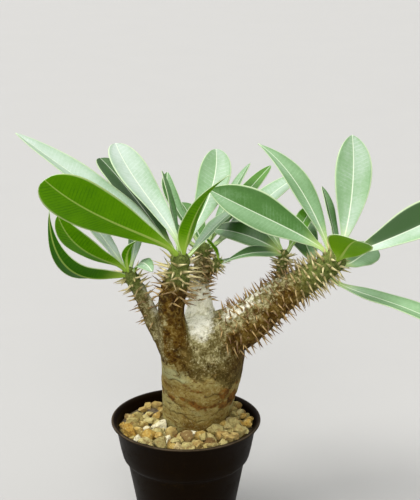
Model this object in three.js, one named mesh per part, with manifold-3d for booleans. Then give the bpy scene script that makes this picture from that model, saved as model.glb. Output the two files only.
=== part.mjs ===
// Potted pachypodium: a swollen grey trunk with five spiny branches, each ending in a tuft of
// long leaves, standing in a round plastic grower's pot topped with gravel.
// Millimetres, +Z up. The origin is the centre of the pot's underside.
// The plant's front is towards -Y, and its long branch leans to +X.

import * as THREE from 'three';
import { mergeVertices } from 'three/addons/utils/BufferGeometryUtils.js';
import Module from 'manifold-3d';

const wasm = await Module();
wasm.setup();

// Driving dimensions

const clearance = 0.3;

const pot = {
  height: 88,
  rimRadius: 52.5,
  rimDepth: 1.8,
  wall: 1.3,
  floor: 1.6,
  segments: 32,
  drainRadius: 2.5,
  drainRing: 19,
  drainCount: 6,
};

const gravel = {
  bedBottom: 62.3,
  bedTop: 81.2,
  stoneHeight: 82.4,
  stoneSmall: 3,
  stoneLarge: 5,
  spacing: 10.8,
  rings: [29.8, 37, 43.6],
  ringScatter: 1.6,
  heightScatter: 1.4,
  seed: 11,
};

const mix = { bottom: 1.9, top: 62 };

// The trunk, from the buried root stub to the rounded fork: x, y, z and radius.
const trunk = [
  [5, 9, 40, 7],
  [5, 9, 55, 15],
  [5, 9, 70, 21],
  [6.2, 8, 84, 23.6],
  [8.3, 8, 101.6, 26.3],
  [10.9, 8, 120.6, 28.6],
  [11.9, 8, 135.7, 29.6],
  [12.8, 8.5, 148, 25.8],
  [14, 9, 158, 18],
  [14, 9, 164, 8],
];

// Each branch runs from inside the trunk to the middle of its crown, a small dome that holds
// the leaves. Spines cover it from the fraction spinesFrom of its length up to the crown.
const branches = {
  front: {
    path: [
      [1, -1, 122, 16],
      [-6, -8, 146, 12.4],
      [-9, -9.5, 163, 9.8],
      [-9.2, -10, 176, 9],
      [-7.2, -10, 187, 9.2],
      [-4.8, -10, 195, 8],
      [-3.5, -10, 203, 6.7],
    ],
    crown: { centre: [-3.1, -10, 207], radius: 6.7 },
    spinesFrom: 0.34,
    spineSpacing: 8.9,
    spineLength: 7,
  },
  left: {
    path: [
      [-5.5, 6, 126, 8],
      [-13.2, 6, 140, 7.2],
      [-20.8, 6, 155, 6.2],
      [-27, 6, 170, 5.5],
      [-32.8, 6, 182, 5.1],
      [-37.6, 5, 191.4, 4.8],
    ],
    crown: { centre: [-38.5, 5, 193], radius: 4.9 },
    spinesFrom: 0.36,
    spineSpacing: 7.9,
    spineLength: 6,
  },
  rear: {
    path: [
      [12, 24, 135, 17],
      [12.3, 30, 150, 11.5],
      [10.6, 33, 164, 7.4],
      [10.2, 34, 178, 5.8],
      [11, 34, 190, 5.4],
      [12, 34, 199, 5.3],
    ],
    crown: { centre: [12.3, 34, 201], radius: 5.6 },
    spinesFrom: 0.36,
    spineSpacing: 8.8,
    spineLength: 6.5,
  },
  rearTwig: {
    path: [
      [10.4, 34, 176, 4.4],
      [15.5, 33, 185, 3.9],
      [21.6, 32, 191.6, 3.6],
    ],
    crown: { centre: [22.4, 31.8, 192.8], radius: 3.8 },
    spinesFrom: 0.3,
    spineSpacing: 7,
    spineLength: 5,
  },
  right: {
    path: [
      [14, 5, 134, 23],
      [25.6, 3, 148.6, 17.6],
      [42, 0.6, 158.4, 15],
      [54.6, 0, 169.6, 13.2],
      [69, 0, 181.8, 11.5],
      [84, 0, 190.8, 9.5],
      [98.5, 0, 201.4, 8.1],
    ],
    crown: { centre: [101, 0, 203.2], radius: 8.2 },
    spinesFrom: 0.22,
    spineSpacing: 9.1,
    spineLength: 7.5,
  },
  rightTwig: {
    path: [
      [60, 7, 174, 5.6],
      [65.2, 11, 188, 3.9],
      [67.4, 12, 203, 3.5],
    ],
    crown: { centre: [67.6, 12, 204.6], radius: 3.8 },
    spinesFrom: 0.3,
    spineSpacing: 7,
    spineLength: 6,
  },
};

const spine = {
  rootRadius: 0.95,
  sunk: 1.6,
  pairGap: 2.2,
  pairSpread: 24,
  sides: 3,
  leafRoom: 3.2,
  climb: 0.45,
  seed: 29,
};

// How finely the round wood is divided: its sides, and the rings of a crown's dome.
const facets = {
  trunk: { sides: 20, rings: 14 },
  branch: { sides: 12, rings: 8 },
  twig: { sides: 8, rings: 6 },
  stemRings: 10,
  thinStem: 10,
};

const blade = {
  thickness: 0.9,
  stalkThickness: 1.7,
  stalkHalfWidth: 1.8,
  fullStalkWidth: 22,
  tipHalfWidth: 0.5,
  rows: 10,
  shortLength: 40,
  shortRows: 6,
  shoulder: 1.5,
  point: 0.72,
  rootStretch: 0.15,
  stemTaper: 0.1,
  bowPlace: 0.6,
  bowReach: 1.9,
};

// Leaves by crown. heading is the compass direction in plan (0 along +X, 90 along +Y) and rise
// the angle above level, both of the line from the crown's middle to the tip. roll turns the
// blade about its midrib, arch and bend bow the midrib up and to the right of that line, fold is
// the V at the midrib, and seat is the heading and rise of the root on the crown, or else lift
// moves the root from the crown's flank (0) towards its top (1). A point over the usual one
// makes a longer, finer tip, and one under it a blunter tip, and so does shoulder for the base.
// A leaf with below has its root that far down the stem, under the crown.
const leaves = {
  front: [
    { heading: -136.4, rise: 34.5, length: 125, width: 34,
      roll: 54, arch: -5, fold: 12, lift: 0.35, shoulder: 1.9, point: 0.55 },
    { heading: 159.2, rise: 32.9, length: 137, width: 31, fold: 14, lift: 0.25, point: 0.9 },
    { heading: 129.7, rise: 43.6, length: 92, width: 27,
      arch: -1, bend: -3, fold: 14, lift: 0.75, shoulder: 1.8, point: 0.55 },
    { heading: 125.5, rise: 26.7, length: 107, width: 24, arch: 3, fold: 16, lift: 0.05, point: 0.5 },
    { heading: -49, rise: 54.4, length: 77, width: 17,
      roll: 12, arch: 5, bend: 5, fold: 18, lift: 0.4, shoulder: 1.1, point: 1.1 },
    { heading: 61.1, rise: 53.2, length: 76.5, width: 23,
      roll: 5, arch: -2, bend: 6.5, fold: 12, lift: 0.1, shoulder: 1.9, point: 0.55 },
    { heading: 51, rise: 20, length: 61, width: 15, roll: -15, arch: 3, fold: 16, seat: [30, 25] },
    { heading: 105, rise: 44, length: 65, width: 13, roll: 55, arch: 2, fold: 18, seat: [95, 30] },
  ],
  left: [
    { heading: -130.6, rise: 40.4, length: 88, width: 19,
      roll: 30, arch: -22.5, fold: 20, seat: [-140, 4], shoulder: 1, point: 1.3 },
    { heading: -135.5, rise: 42, length: 74, width: 20, roll: 32, arch: -9, fold: 14, lift: 0.4 },
    { heading: 125.5, rise: 27, length: 70, width: 13, fold: 16, lift: 0.2 },
    { heading: -61, rise: 60, length: 28, width: 8, arch: 3, bend: 4, fold: 14, seat: [-95, 55] },
    { heading: 82, rise: 32.5, length: 46.5, width: 11, arch: 2, fold: 18, seat: [70, 50] },
    { heading: -49, rise: 16.5, length: 22, width: 11, roll: 25, arch: 6, fold: 8, seat: [-30, 40] },
  ],
  rear: [
    { heading: 53.5, rise: 42.5, length: 71, width: 16, roll: -30, arch: 2, fold: 14, seat: [35, 52] },
    { heading: 33.5, rise: 26.5, length: 92, width: 23, arch: 4, fold: 12, seat: [10, 22] },
    { heading: 118, rise: 38, length: 66, width: 12,
      roll: 10, arch: 2, bend: -8, fold: 18, seat: [125, 38] },
    { heading: 107, rise: 19, length: 55, width: 18, arch: 3, fold: 16, seat: [92, 2] },
    { heading: 151, rise: 21, length: 55, width: 17, arch: 4, fold: 16, seat: [178, 25] },
    { heading: 52.5, rise: 29, length: 88, width: 13, roll: 10, arch: 2, fold: 18, seat: [60, 28] },
  ],
  rearTwig: [
    { heading: -142, rise: 59, length: 21, width: 8, arch: 1, fold: 16, lift: 0.5 },
    { heading: -66, rise: 16.5, length: 16, width: 7, arch: 1, fold: 16, lift: 0.4 },
  ],
  rightTwig: [
    { heading: -142, rise: 4, length: 51, width: 15,
      roll: -16, arch: 4, fold: 14, lift: 0.2, shoulder: 1, point: 1.6 },
    { heading: 153, rise: 10, length: 54.5, width: 19,
      roll: -32, arch: 4, fold: 14, seat: [169, 32], point: 1 },
    { heading: 124, rise: 29.5, length: 56, width: 15, arch: 3, fold: 18, seat: [118, 34] },
    { heading: 44.5, rise: 41, length: 41.5, width: 15, arch: 3, fold: 16, seat: [20, 40] },
  ],
  right: [
    { heading: 178.5, rise: 30.4, length: 90, width: 33,
      roll: -38, fold: 14, seat: [170, 48], shoulder: 1.9, point: 0.85 },
    { heading: 132, rise: 42.7, length: 94, width: 22,
      arch: 7, bend: 3, fold: 14, seat: [120, 48], shoulder: 2, point: 1.1 },
    { heading: 72.3, rise: 58.3, length: 83, width: 26,
      roll: 5, bend: 3.5, fold: 12, seat: [40, 52], shoulder: 1.9 },
    { heading: 10, rise: 23, length: 92, width: 32,
      roll: 30, arch: -3, fold: 20, seat: [0, 25], shoulder: 1.9 },
    { heading: -44, rise: -14.8, length: 90, width: 23, arch: 4, fold: 12, seat: [-43, -40], below: 8 },
    { heading: -81, rise: 29.4, length: 56, width: 30, roll: -20, arch: 3, fold: 6, seat: [-72, 30] },
    { heading: 48.5, rise: -3, length: 43, width: 20, roll: 34, arch: 2, fold: 10, seat: [24, -24] },
    { heading: 118.5, rise: 16.5, length: 51, width: 23,
      roll: -8, arch: 3, fold: 14, seat: [110, 20], below: 12 },
    { heading: 99, rise: 48.5, length: 49, width: 13, roll: 40, arch: 3, fold: 18, seat: [76, 20] },
  ],
};

// Solids and geometry

function solidOf(geometry) {
  const bare = geometry.clone();
  bare.deleteAttribute('normal');
  bare.deleteAttribute('uv');
  const merged = mergeVertices(bare, 1e-4);
  const vertProperties = new Float32Array(merged.attributes.position.array);
  const triVerts = new Uint32Array(merged.index.array);
  return new wasm.Manifold(new wasm.Mesh({ numProp: 3, vertProperties, triVerts }));
}

function geometryOf(solid) {
  const { vertProperties, triVerts, numProp } = solid.getMesh();
  const geometry = new THREE.BufferGeometry();
  geometry.setAttribute('position', new THREE.BufferAttribute(vertProperties, numProp));
  geometry.setIndex(new THREE.BufferAttribute(triVerts, 1));
  geometry.computeVertexNormals();
  return geometry;
}

function joined(solids) {
  let level = solids;
  while (level.length > 1) {
    const next = [];
    for (let i = 0; i < level.length; i += 2) {
      next.push(i + 1 < level.length ? level[i].add(level[i + 1]) : level[i]);
    }
    level = next;
  }
  return level[0];
}

function lathe(profile, segments) {
  const geometry = new THREE.LatheGeometry(profile.map(([r, z]) => new THREE.Vector2(r, z)), segments);
  geometry.rotateX(Math.PI / 2);
  return geometry;
}

function vector([x, y, z]) {
  return new THREE.Vector3(x, y, z);
}

// A stem is a round tube whose centre line and radius both pass smoothly through its points.
class Stem {
  constructor(points) {
    this.line = new THREE.CatmullRomCurve3(points.map(vector));
    this.radii = new THREE.CatmullRomCurve3(points.map((point) => new THREE.Vector3(point[3], 0, 0)));
  }

  frame(t) {
    const along = this.line.getTangent(t);
    const across = new THREE.Vector3(0, 1, 0).cross(along).normalize();
    const away = along.clone().cross(across);
    return { centre: this.line.getPoint(t), radius: this.radii.getPoint(t).x, along, across, away };
  }

  // A place on the surface, travelled millimetres along. Past the end it climbs the round crown.
  surface(travelled, angle) {
    const length = this.line.getLength();
    const { centre, radius, along, across, away } = this.frame(Math.min(1, travelled / length));
    const climb = Math.max(0, travelled - length) / radius;
    const out = across.multiplyScalar(Math.cos(angle)).addScaledVector(away, Math.sin(angle));
    out.multiplyScalar(Math.cos(climb)).addScaledVector(along, Math.sin(climb));
    const point = centre.clone().addScaledVector(out, radius);
    return { point, out, along, radius };
  }

  holds(point, samples = 24) {
    for (let i = 0; i <= samples; i += 1) {
      const { centre, radius } = this.frame(i / samples);
      if (centre.distanceTo(point) < radius * 0.98) return true;
    }
    return false;
  }

  geometry(sides, rings, extra = 0) {
    const tube = new THREE.CylinderGeometry(1, 1, 1, sides, rings);
    const position = tube.attributes.position;
    for (let i = 0; i < position.count; i += 1) {
      const x = position.getX(i);
      const z = position.getZ(i);
      const t = THREE.MathUtils.clamp(position.getY(i) + 0.5, 0, 1);
      const { centre, radius, across, away } = this.frame(t);
      const reach = radius + extra;
      centre.addScaledVector(across, z * reach).addScaledVector(away, x * reach);
      position.setXYZ(i, centre.x, centre.y, centre.z);
    }
    return tube;
  }
}

// Pot and soil

const outerWall = [
  [30.2, 0],
  [31.2, 1.2],
  [41.4, 57.2],
  [42.8, 58.8],
  [44.4, 60.6],
  [45.2, 63],
  [46.4, 68.4],
  [49.6, pot.height - pot.rimDepth],
];

function innerRadius(z) {
  for (let i = 1; i < outerWall.length; i += 1) {
    const [lowRadius, lowZ] = outerWall[i - 1];
    const [highRadius, highZ] = outerWall[i];
    if (z <= highZ) {
      return THREE.MathUtils.mapLinear(z, lowZ, highZ, lowRadius, highRadius) - pot.wall;
    }
  }
  return outerWall.at(-1)[0] - pot.wall;
}

// The outline of what fills the pot between two levels, a little clear of the wall.
function fillOutline(bottom, top, gap) {
  const bends = outerWall.map(([, z]) => z).filter((z) => z > bottom && z < top);
  const levels = [bottom, ...bends, top];
  return [[0, bottom], ...levels.map((z) => [innerRadius(z) - gap, z]), [0, top]];
}

function makePot() {
  const inner = outerWall.slice(2).map(([, z]) => [innerRadius(z), z]);
  const lip = [
    [pot.rimRadius - 0.4, pot.height - pot.rimDepth],
    [pot.rimRadius, pot.height - pot.rimDepth + 0.4],
    [pot.rimRadius, pot.height - 0.5],
    [pot.rimRadius - 0.6, pot.height],
    [pot.rimRadius - 1.5, pot.height],
  ];
  const corner = [innerRadius(pot.floor), pot.floor];
  const profile = [[0, 0], ...outerWall, ...lip, ...inner.reverse(), corner, [0, pot.floor]];
  let shell = solidOf(lathe(profile, pot.segments));
  for (let i = 0; i < pot.drainCount; i += 1) {
    const angle = (i / pot.drainCount) * 2 * Math.PI;
    const drill = new THREE.CylinderGeometry(pot.drainRadius, pot.drainRadius, 4 * pot.floor, 8);
    drill.rotateX(Math.PI / 2);
    drill.translate(pot.drainRing * Math.cos(angle), pot.drainRing * Math.sin(angle), 0);
    shell = shell.subtract(solidOf(drill));
  }
  return shell;
}

function makePottingMix(rootHole) {
  return solidOf(lathe(fillOutline(mix.bottom, mix.top, clearance), pot.segments)).subtract(rootHole);
}

// A pebble is a dented twenty-sided stone, turned and squashed at random.
function pebble(size, random) {
  const ball = new THREE.IcosahedronGeometry(size, 0).deleteAttribute('normal').deleteAttribute('uv');
  const stone = mergeVertices(ball);
  const position = stone.attributes.position;
  for (let i = 0; i < position.count; i += 1) {
    const dent = 0.84 + 0.3 * random();
    position.setXYZ(i, position.getX(i) * dent, position.getY(i) * dent, position.getZ(i) * dent);
  }
  stone.scale(1.15, 0.95, 0.8 + 0.25 * random());
  stone.rotateX(random() - 0.5);
  stone.rotateZ(2 * Math.PI * random());
  return stone;
}

function makeGravel(rootHole) {
  const random = seeded(gravel.seed);
  const bed = solidOf(lathe(fillOutline(gravel.bedBottom, gravel.bedTop, clearance), pot.segments));
  const stones = [bed];
  const [trunkX, trunkY] = trunk[2];
  for (const ring of gravel.rings) {
    const count = Math.round((2 * Math.PI * ring) / gravel.spacing);
    for (let i = 0; i < count; i += 1) {
      const angle = ((i + 0.6 * random()) / count) * 2 * Math.PI;
      const radius = ring + gravel.ringScatter * (random() - 0.5);
      const size = THREE.MathUtils.lerp(gravel.stoneSmall, gravel.stoneLarge, random());
      const x = radius * Math.cos(angle);
      const y = radius * Math.sin(angle);
      const stone = pebble(size, random);
      stone.translate(x, y, gravel.stoneHeight + gravel.heightScatter * (random() - 0.3));
      const offTrunk = Math.hypot(x - trunkX, y - trunkY) - trunk[3][3];
      if (offTrunk > 0.5 * size) stones.push(solidOf(stone));
    }
  }
  const roomOutline = fillOutline(gravel.bedBottom, pot.height + 4, clearance);
  const room = solidOf(lathe(roomOutline, pot.segments));
  return joined(stones).intersect(room).subtract(rootHole);
}

function seeded(seed) {
  let state = seed;
  return () => {
    state = (state * 1664525 + 1013904223) % 4294967296;
    return state / 4294967296;
  };
}

// Leaves

function direction(heading, rise) {
  const h = THREE.MathUtils.degToRad(heading);
  const e = THREE.MathUtils.degToRad(rise);
  return new THREE.Vector3(Math.cos(h) * Math.cos(e), Math.sin(h) * Math.cos(e), Math.sin(e));
}

function leafLine(branch, leaf) {
  const { crown, path } = branch;
  const centre = vector(crown.centre);
  const axis = vector(path.at(-1)).sub(vector(path.at(-2))).normalize();
  const aim = direction(leaf.heading, leaf.rise);
  const out = leaf.seat ? direction(...leaf.seat) : aim.clone().lerp(axis, leaf.lift).normalize();
  const below = leaf.below ?? 0;
  const seatRadius = crown.radius + clearance + blade.stemTaper * below;
  const root = centre.clone().addScaledVector(axis, -below).addScaledVector(out, seatRadius);
  const tip = centre.clone().addScaledVector(aim, crown.radius + leaf.length);
  const side = aim.clone().cross(new THREE.Vector3(0, 0, 1)).normalize();
  const up = side.clone().cross(aim);
  const early = root.clone().addScaledVector(out, blade.rootStretch * leaf.length);
  const late = root.clone().lerp(tip, blade.bowPlace);
  late.addScaledVector(up, blade.bowReach * (leaf.arch ?? 0));
  late.addScaledVector(side, blade.bowReach * (leaf.bend ?? 0));
  return new THREE.CubicBezierCurve3(root, early, late, tip);
}

// Half the blade's width at the fraction t from root to tip: a wedge-shaped base, the widest
// place two thirds of the way out, and a blunt point.
function halfWidth(leaf, t) {
  const { shoulder, point } = { ...blade, ...leaf };
  const widest = shoulder / (shoulder + point);
  const peak = widest ** shoulder * (1 - widest) ** point;
  const outline = (t ** shoulder * (1 - t) ** point) / peak;
  const stalk = blade.stalkHalfWidth * Math.min(1, leaf.width / blade.fullStalkWidth);
  return Math.max(THREE.MathUtils.lerp(stalk, blade.tipHalfWidth, t), 0.5 * leaf.width * outline);
}

// The two faces are the same sheet of triangles, so they never cross, and a strip closes the rim.
function makeLeaf(branch, leaf) {
  const line = leafLine(branch, leaf);
  const columns = 2;
  const rows = leaf.length < blade.shortLength ? blade.shortRows : blade.rows;
  const sheet = new THREE.PlaneGeometry(1, 1, columns, rows);
  const perFace = (columns + 1) * (rows + 1);
  const points = [];
  const roll = THREE.MathUtils.degToRad(leaf.roll ?? 0);
  const fold = THREE.MathUtils.degToRad(leaf.fold);
  for (const face of [1, -1]) {
    for (let i = 0; i < perFace; i += 1) {
      const across = 2 * sheet.attributes.position.getX(i);
      const t = 1 - (0.5 - sheet.attributes.position.getY(i)) ** 1.25;
      const along = line.getTangent(t);
      const side = along.clone().cross(new THREE.Vector3(0, 0, 1)).normalize();
      side.applyAxisAngle(along, roll);
      const up = side.clone().cross(along);
      const opened = Math.abs(across) * halfWidth(leaf, t);
      const thickness = THREE.MathUtils.lerp(blade.stalkThickness, blade.thickness, Math.min(1, 2.5 * t));
      const height = opened * Math.sin(fold) + 0.5 * face * thickness;
      const point = line.getPoint(t);
      point.addScaledVector(side, Math.sign(across) * opened * Math.cos(fold));
      point.addScaledVector(up, height);
      points.push(point);
    }
  }
  const index = [];
  const upper = Array.from(sheet.index.array);
  for (let i = 0; i < upper.length; i += 3) {
    const [a, b, c] = upper.slice(i, i + 3);
    index.push(a, b, c, a + perFace, c + perFace, b + perFace);
  }
  const rim = [];
  for (let i = 0; i < columns; i += 1) rim.push(i);
  for (let j = 0; j < rows; j += 1) rim.push(columns + j * (columns + 1));
  for (let i = columns; i > 0; i -= 1) rim.push(rows * (columns + 1) + i);
  for (let j = rows; j > 0; j -= 1) rim.push(j * (columns + 1));
  rim.forEach((here, k) => {
    const next = rim[(k + 1) % rim.length];
    index.push(here, next, here + perFace, next, next + perFace, here + perFace);
  });
  const geometry = new THREE.BufferGeometry().setFromPoints(points);
  geometry.setIndex(index);
  geometry.computeVertexNormals();
  return geometry;
}

// The caudex: trunk, branches, crowns and spines, grown as one piece

function makeSpine(root, way, length) {
  const height = length + spine.sunk;
  const cone = new THREE.ConeGeometry(spine.rootRadius, height, spine.sides);
  cone.translate(0, height / 2 - spine.sunk, 0);
  cone.applyQuaternion(new THREE.Quaternion().setFromUnitVectors(new THREE.Vector3(0, 1, 0), way));
  cone.translate(root.x, root.y, root.z);
  return cone;
}

// Spines stand in pairs on a spiral up the branch, each golden angle a step further round.
function makeSpines(branch, stem, otherStems, leafPoints) {
  const random = seeded(spine.seed);
  const goldenAngle = THREE.MathUtils.degToRad(137.5);
  const length = stem.line.getLength();
  const spread = THREE.MathUtils.degToRad(spine.pairSpread);
  const cones = [];
  let travelled = branch.spinesFrom * length;
  let turn = 0;
  while (travelled < length + spine.climb * branch.crown.radius) {
    const { point, out, along, radius } = stem.surface(travelled, turn);
    const sideways = along.clone().cross(out).normalize();
    for (const hand of [-1, 1]) {
      const lean = 0.5 * (random() - 0.35);
      const way = out.clone().addScaledVector(sideways, hand * Math.tan(spread));
      way.addScaledVector(along, lean).normalize();
      const root = point.clone().addScaledVector(sideways, hand * 0.5 * spine.pairGap);
      const reach = branch.spineLength * (0.75 + 0.4 * random());
      const end = root.clone().addScaledVector(way, reach);
      const buried = otherStems.some((other) => other.holds(end) || other.holds(root));
      const middle = root.clone().lerp(end, 0.5);
      const reached = (place, leafPoint) => leafPoint.distanceTo(place) < spine.leafRoom;
      const near = (leafPoint) => reached(middle, leafPoint) || reached(end, leafPoint);
      const crowded = leafPoints.some(near);
      if (!buried && !crowded) cones.push(solidOf(makeSpine(root, way, reach)));
    }
    travelled += branch.spineSpacing ** 2 / (2 * Math.PI * radius);
    turn += goldenAngle;
  }
  return cones;
}

function makeCaudex(trunkStem, leafPoints) {
  const parts = [solidOf(trunkStem.geometry(facets.trunk.sides, facets.trunk.rings))];
  const stems = Object.values(branches).map((branch) => ({ branch, stem: new Stem(branch.path) }));
  for (const { branch, stem } of stems) {
    const { sides, rings } = branch.path[0][3] > facets.thinStem ? facets.branch : facets.twig;
    parts.push(solidOf(stem.geometry(sides, facets.stemRings)));
    const dome = new THREE.SphereGeometry(branch.crown.radius, sides, rings);
    dome.rotateX(Math.PI / 2);
    dome.translate(...branch.crown.centre);
    parts.push(solidOf(dome));
  }
  const body = joined(parts);
  const spines = stems.flatMap(({ branch, stem }) => {
    const others = [trunkStem, ...stems.map((each) => each.stem).filter((other) => other !== stem)];
    return makeSpines(branch, stem, others, leafPoints);
  });
  return body.add(joined(spines));
}

// Materials and assembly

const finishes = {
  pot: { color: 0x1d1815, roughness: 0.42, metalness: 0 },
  pottingMix: { color: 0x4a3a2a, roughness: 0.95, metalness: 0 },
  gravel: { color: 0xc2ad82, roughness: 0.9, metalness: 0 },
  caudex: { color: 0xa89d82, roughness: 0.85, metalness: 0 },
  leaf: { color: 0x5f9a56, roughness: 0.45, metalness: 0 },
};

const group = new THREE.Group();

function place(name, geometry, finish) {
  const mesh = new THREE.Mesh(geometry, new THREE.MeshStandardMaterial(finishes[finish]));
  mesh.name = name;
  group.add(mesh);
}

const trunkStem = new Stem(trunk);
const [[stubX, stubY, stubZ, stubRadius], ...upwards] = trunk;
const holeStem = new Stem([[stubX, stubY, stubZ - clearance, stubRadius], ...upwards]);
const rootHole = solidOf(holeStem.geometry(facets.trunk.sides, facets.trunk.rings, clearance));

place('pot', geometryOf(makePot()), 'pot');
place('potting_mix', geometryOf(makePottingMix(rootHole)), 'pottingMix');
place('gravel', geometryOf(makeGravel(rootHole)), 'gravel');

const leafPoints = [];
for (const [crown, tuft] of Object.entries(leaves)) {
  tuft.forEach((leaf, i) => {
    const line = leafLine(branches[crown], leaf);
    leafPoints.push(...line.getSpacedPoints(40));
    place(`leaf_${crown}_${i + 1}`, makeLeaf(branches[crown], leaf), 'leaf');
  });
}

place('caudex', geometryOf(makeCaudex(trunkStem, leafPoints)), 'caudex');

export default group;
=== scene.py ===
import math
import random

import bmesh
import bpy
import numpy as np
from mathutils import Matrix, Vector, noise
from mathutils.kdtree import KDTree


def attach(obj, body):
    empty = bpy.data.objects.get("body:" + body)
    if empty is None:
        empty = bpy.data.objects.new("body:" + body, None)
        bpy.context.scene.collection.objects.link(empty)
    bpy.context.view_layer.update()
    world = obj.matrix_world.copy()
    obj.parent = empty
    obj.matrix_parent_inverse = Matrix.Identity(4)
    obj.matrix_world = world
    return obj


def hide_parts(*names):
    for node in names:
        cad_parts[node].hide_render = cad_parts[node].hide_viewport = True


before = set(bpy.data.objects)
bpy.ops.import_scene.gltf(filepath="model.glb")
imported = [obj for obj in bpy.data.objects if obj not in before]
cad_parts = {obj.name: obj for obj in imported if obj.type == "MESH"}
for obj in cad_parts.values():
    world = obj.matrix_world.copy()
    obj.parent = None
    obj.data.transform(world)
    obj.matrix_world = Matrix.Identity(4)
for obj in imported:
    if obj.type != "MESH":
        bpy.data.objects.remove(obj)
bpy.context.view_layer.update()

mm = 0.001
scene = bpy.context.scene


# Finishes

class Wire:
    # a socket that takes part in ordinary sums
    def __init__(self, finish, socket):
        self.finish = finish
        self.socket = socket

    def __add__(self, other):
        return self.finish.maths("ADD", self, other)

    def __radd__(self, other):
        return self.finish.maths("ADD", other, self)

    def __sub__(self, other):
        return self.finish.maths("SUBTRACT", self, other)

    def __rsub__(self, other):
        return self.finish.maths("SUBTRACT", other, self)

    def __mul__(self, other):
        return self.finish.maths("MULTIPLY", self, other)

    def __rmul__(self, other):
        return self.finish.maths("MULTIPLY", other, self)


class Finish:
    # a material, written as sums and blends of its nodes
    def __init__(self, name, **constants):
        self.material = bpy.data.materials.new(name)
        self.material.use_nodes = True
        self.tree = self.material.node_tree
        self.shader = self.tree.nodes["Principled BSDF"]
        for socket, value in constants.items():
            self.shader.inputs[socket.replace("_", " ")].default_value = value

    def add(self, kind, settings=None, sockets=None, output=0):
        node = self.tree.nodes.new("ShaderNode" + kind)
        for key, value in (settings or {}).items():
            if key == "stops":
                self.setStops(node.color_ramp, value)
            else:
                setattr(node, key, value)
        for key, value in (sockets or {}).items():
            self.feed(node.inputs[key], value)
        return Wire(self, node.outputs[output])

    def setStops(self, ramp, stops):
        while len(ramp.elements) < len(stops):
            ramp.elements.new(1.0)
        for element, (position, colour) in zip(ramp.elements, stops):
            element.position = position
            element.color = (*colour, 1.0)

    def feed(self, socket, value):
        if isinstance(value, Wire):
            self.tree.links.new(value.socket, socket)
        elif isinstance(value, tuple) and socket.type == "RGBA":
            socket.default_value = (*value, 1.0)
        else:
            socket.default_value = value

    def maths(self, operation, first, second=0.0):
        return self.add("Math", {"operation": operation}, {0: first, 1: second})

    def place(self, scale=(1.0, 1.0, 1.0), shift=(0.0, 0.0, 0.0)):
        coordinates = self.add("TexCoord", output="Object")
        return self.add("Mapping", {}, {"Vector": coordinates, "Scale": scale, "Location": shift})

    def split(self, vector):
        first = self.add("SeparateXYZ", {}, {0: vector})
        return [Wire(self, socket) for socket in first.socket.node.outputs]

    def grain(self, size, detail=4.0, rough=0.55, stretch=(1.0, 1.0, 1.0), shift=(0.0, 0.0, 0.0), twist=0.0):
        # noise whose features are about size millimetres across
        sockets = {
            "Vector": self.place(stretch, shift),
            "Scale": 1.0 / (size * mm),
            "Detail": detail,
            "Roughness": rough,
            "Distortion": twist,
        }
        return self.add("TexNoise", {}, sockets)

    def cells(self, size):
        return self.add("TexVoronoi", {}, {"Vector": self.place(), "Scale": 1.0 / (size * mm)})

    def step(self, value, low, high, bottom=0.0, top=1.0):
        sockets = {"Value": value, "From Min": low, "From Max": high, "To Min": bottom, "To Max": top}
        return self.add("MapRange", {"interpolation_type": "SMOOTHSTEP"}, sockets)

    def mark(self, name):
        return self.add("Attribute", {"attribute_name": name}, output="Fac")

    def blend(self, mask, under, over):
        return self.add("Mix", {"data_type": "RGBA"}, {0: mask, 6: under, 7: over}, 2)

    def dabs(self, colour, rows):
        # lays colours over one another, each by up to its share as its value goes from low to high
        for value, low, high, share, over in rows:
            colour = self.blend(self.step(value, low, high, 0.0, share), colour, over)
        return colour

    def tint(self, value, stops):
        return self.add("ValToRGB", {"stops": stops}, {0: value})

    def relief(self, height, depth, strength=1.0, under=None):
        sockets = {"Height": height, "Distance": depth * mm, "Strength": strength}
        if under is not None:
            sockets["Normal"] = under
        return self.add("Bump", {}, sockets)

    def finish(self, colour, roughness=None, normal=None):
        for name, value in (("Base Color", colour), ("Roughness", roughness), ("Normal", normal)):
            if value is not None:
                self.feed(self.shader.inputs[name], value)
        return self.material


# Shared making

def makeObject(name, bm, materials, smooth=True):
    mesh = bpy.data.meshes.new(name)
    bm.to_mesh(mesh)
    bm.free()
    for material in materials:
        mesh.materials.append(material)
    mesh.polygons.foreach_set("use_smooth", [smooth] * len(mesh.polygons))
    piece = bpy.data.objects.new(name, mesh)
    scene.collection.objects.link(piece)
    return piece


def bake(piece):
    # turns the piece's live modifiers into its mesh
    graph = bpy.context.evaluated_depsgraph_get()
    mesh = bpy.data.meshes.new_from_object(piece.evaluated_get(graph))
    piece.modifiers.clear()
    piece.data = mesh
    return piece


def belongs(piece, slot, *nodes):
    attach(piece, "root")
    if nodes:
        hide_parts(*nodes)
    return piece


def writeMark(piece, name, values):
    layer = piece.data.attributes.new(name, "FLOAT", "POINT")
    layer.data.foreach_set("value", np.asarray(values, dtype=np.float32))


def fade(value, low, high):
    t = min(1.0, max(0.0, (value - low) / (high - low)))
    return t * t * (3 - 2 * t)


def ridge(offset, width):
    # one on a line, and fading to both sides of it
    return math.exp(-(offset / width) ** 2)


def swell(place, scale, shift=(0, 0, 0)):
    # smooth noise about zero
    return noise.noise(place * scale + Vector(shift))


def direction(heading, rise):
    h, e = math.radians(heading), math.radians(rise)
    return Vector((math.cos(h) * math.cos(e), math.sin(h) * math.cos(e), math.sin(e)))


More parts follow.
